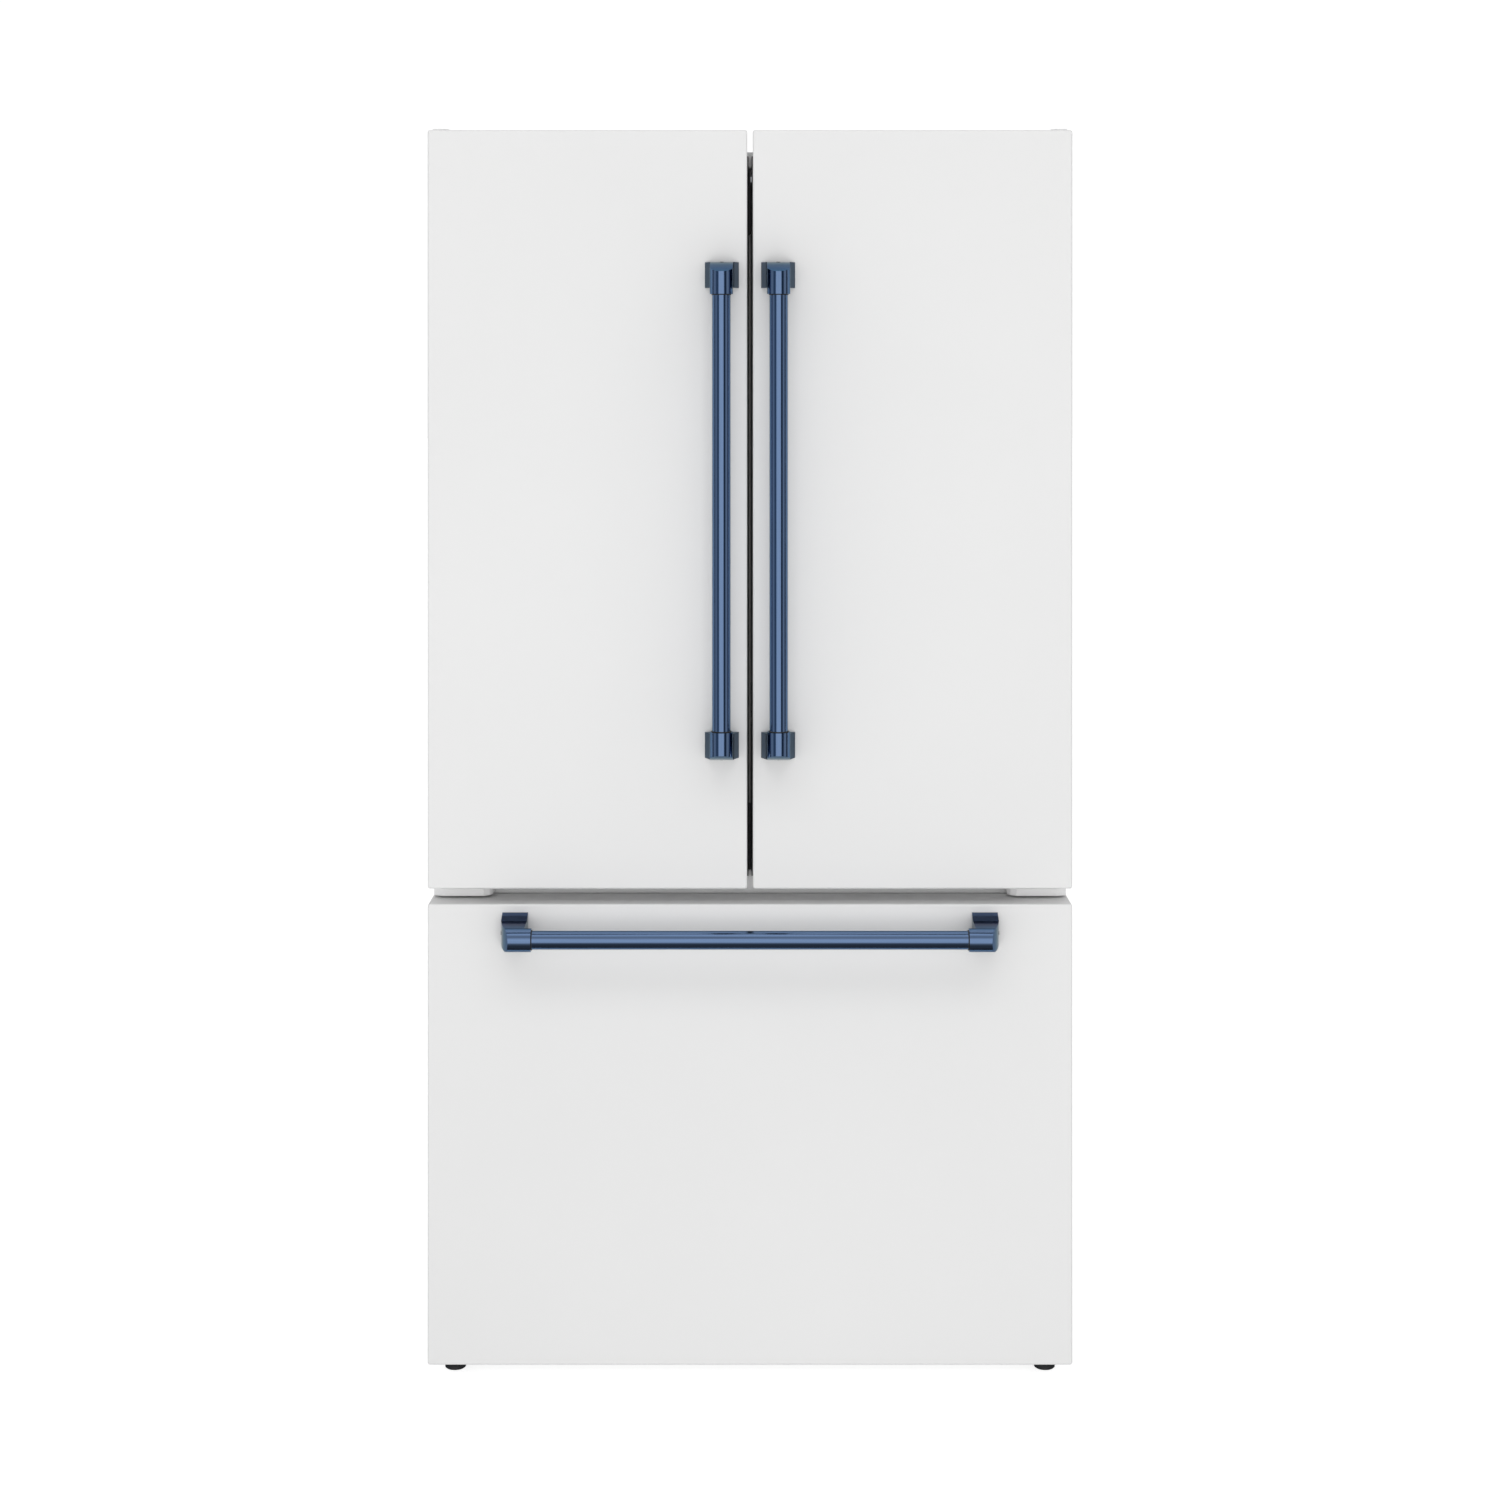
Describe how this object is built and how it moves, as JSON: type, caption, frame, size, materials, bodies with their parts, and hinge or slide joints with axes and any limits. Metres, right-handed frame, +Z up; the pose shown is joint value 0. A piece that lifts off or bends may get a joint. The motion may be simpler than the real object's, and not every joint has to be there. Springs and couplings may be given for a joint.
{
  "type": "french door refrigerator",
  "caption": "French door refrigerator with swinging upper doors, a folding centre mullion, a pull-out freezer drawer, bar handles, shelves, bins and crispers.",
  "frame": {"origin": "on the floor, under the middle of the overall box", "axes": "+X to the viewer's right when facing the doors, +Y towards the back, +Z up"},
  "size_m": [0.911, 0.764, 1.782],
  "materials": {
    "white_enamel": "satin",
    "cabinet_enamel": "satin",
    "galvanised": "spangled",
    "blue_metal": "brushed metallic",
    "hinge_white": "satin",
    "hinge_cover_plastic": "fine grain",
    "pin_steel": "turned",
    "liner_plastic": "smooth",
    "rim_plastic": "smooth",
    "clear_plastic": "clear",
    "frosted_plastic": "frosted",
    "shelf_glass": "tempered",
    "gasket_rubber": "matte",
    "mullion_plastic": "fine grain",
    "bracket_plastic": "moulded",
    "foam": "foamed",
    "compressor_black": "gloss",
    "condenser_black": "matt",
    "coil_aluminium": "fins",
    "fan_plastic": "moulded",
    "cover_board": "grained",
    "roller_plastic": "moulded",
    "foot_plastic": "moulded"
  },
  "bodies": {
    "cabinet": {"left_side_panel": "cabinet_enamel", "right_side_panel": "cabinet_enamel", "top_panel": "cabinet_enamel", "back_panel": "galvanised", "base_pan": "galvanised", "front_rails": "cabinet_enamel", "insulation_foam": "foam", "fresh_food_liner": "liner_plastic", "freezer_liner": "liner_plastic", "door_hinges": "hinge_white", "hinge_pins": "pin_steel", "hinge_covers": "hinge_cover_plastic", "glass_shelves": "shelf_glass", "shelf_frames": "rim_plastic", "shelf_ladders": "galvanised", "air_duct_cover": "liner_plastic", "crisper_cover": "shelf_glass", "freezer_outer_rails": "galvanised", "freezer_back_cover": "liner_plastic", "evaporator": "coil_aluminium", "compressor": "compressor_black", "condenser": "condenser_black", "machine_room_cover": "cover_board", "roller_axles": "pin_steel"},
    "left_door": {"left_door_panel": "white_enamel", "left_door_hinge_blocks": "bracket_plastic", "left_door_foam": "foam", "left_door_liner": "liner_plastic", "left_door_gasket": "gasket_rubber", "left_door_bins": "clear_plastic", "left_handle_bar": "blue_metal", "left_handle_brackets": "blue_metal", "mullion_hinges": "bracket_plastic"},
    "right_door": {"right_door_panel": "white_enamel", "right_door_hinge_blocks": "bracket_plastic", "right_door_foam": "foam", "right_door_liner": "liner_plastic", "right_door_gasket": "gasket_rubber", "right_door_bins": "clear_plastic", "right_handle_bar": "blue_metal", "right_handle_brackets": "blue_metal"},
    "mullion": {"flip_mullion": "mullion_plastic"},
    "freezer_drawer": {"drawer_panel": "white_enamel", "drawer_foam": "foam", "drawer_liner": "liner_plastic", "drawer_gasket": "gasket_rubber", "drawer_inner_rails": "galvanised", "drawer_handle_bar": "blue_metal", "drawer_handle_brackets": "blue_metal", "freezer_basket": "frosted_plastic"},
    "middle_rails": {"freezer_middle_rails": "galvanised"},
    "upper_tray": {"freezer_tray": "frosted_plastic"},
    "left_crisper": {"left_crisper": "clear_plastic"},
    "right_crisper": {"right_crisper": "clear_plastic"},
    "evaporator_fan": {"evaporator_fan": "fan_plastic"},
    "condenser_fan": {"condenser_fan": "fan_plastic"},
    "left_roller": {"left_roller": "roller_plastic"},
    "right_roller": {"right_roller": "roller_plastic"},
    "left_foot": {"left_foot": "foot_plastic"},
    "right_foot": {"right_foot": "foot_plastic"}
  },
  "joints": [
    {"name": "left_door_hinge", "type": "hinge", "parent": "cabinet", "child": "left_door", "pos_m": [-0.446, -0.25, 1.239], "axis": [0, 0, -1], "range_deg": [0, 120]},
    {"name": "right_door_hinge", "type": "hinge", "parent": "cabinet", "child": "right_door", "pos_m": [0.446, -0.25, 1.239], "axis": [0, 0, 1], "range_deg": [0, 120]},
    {"name": "mullion_fold", "type": "hinge", "parent": "left_door", "child": "mullion", "pos_m": [-0.04, -0.208, 1.22], "axis": [0, 0, 1], "range_deg": [0, 90]},
    {"name": "freezer_drawer_slide", "type": "slide", "parent": "cabinet", "child": "freezer_drawer", "axis": [0, -1, 0], "range_m": [0, 0.42]},
    {"name": "middle_rail_slide", "type": "slide", "parent": "cabinet", "child": "middle_rails", "axis": [0, -1, 0], "range_m": [0, 0.21]},
    {"name": "upper_tray_slide", "type": "slide", "parent": "freezer_drawer", "child": "upper_tray", "axis": [0, 1, 0], "range_m": [0, 0.14]},
    {"name": "left_crisper_slide", "type": "slide", "parent": "cabinet", "child": "left_crisper", "axis": [0, -1, 0], "range_m": [0, 0.07]},
    {"name": "right_crisper_slide", "type": "slide", "parent": "cabinet", "child": "right_crisper", "axis": [0, -1, 0], "range_m": [0, 0.07]},
    {"name": "evaporator_fan_spin", "type": "hinge", "parent": "cabinet", "child": "evaporator_fan", "pos_m": [0, 0.285, 0.596], "axis": [0, 1, 0], "continuous": true},
    {"name": "condenser_fan_spin", "type": "hinge", "parent": "cabinet", "child": "condenser_fan", "pos_m": [-0.06, 0.255, 0.15], "axis": [1, 0, 0], "continuous": true},
    {"name": "left_roller_spin", "type": "hinge", "parent": "cabinet", "child": "left_roller", "pos_m": [-0.4, 0.34, 0.02], "axis": [1, 0, 0], "continuous": true},
    {"name": "left_foot_turn", "type": "hinge", "parent": "cabinet", "child": "left_foot", "pos_m": [-0.424, -0.229, 0.01], "axis": [0, 0, 1], "continuous": true},
    {"name": "right_roller_spin", "type": "hinge", "parent": "cabinet", "child": "right_roller", "pos_m": [0.4, 0.34, 0.02], "axis": [1, 0, 0], "continuous": true},
    {"name": "right_foot_turn", "type": "hinge", "parent": "cabinet", "child": "right_foot", "pos_m": [0.424, -0.229, 0.01], "axis": [0, 0, 1], "continuous": true}
  ],
  "couplings": [
    {"joint": "mullion_fold", "follows": "left_door_hinge", "ratio": 0.75},
    {"joint": "middle_rail_slide", "follows": "freezer_drawer_slide", "ratio": 0.5}
  ]
}
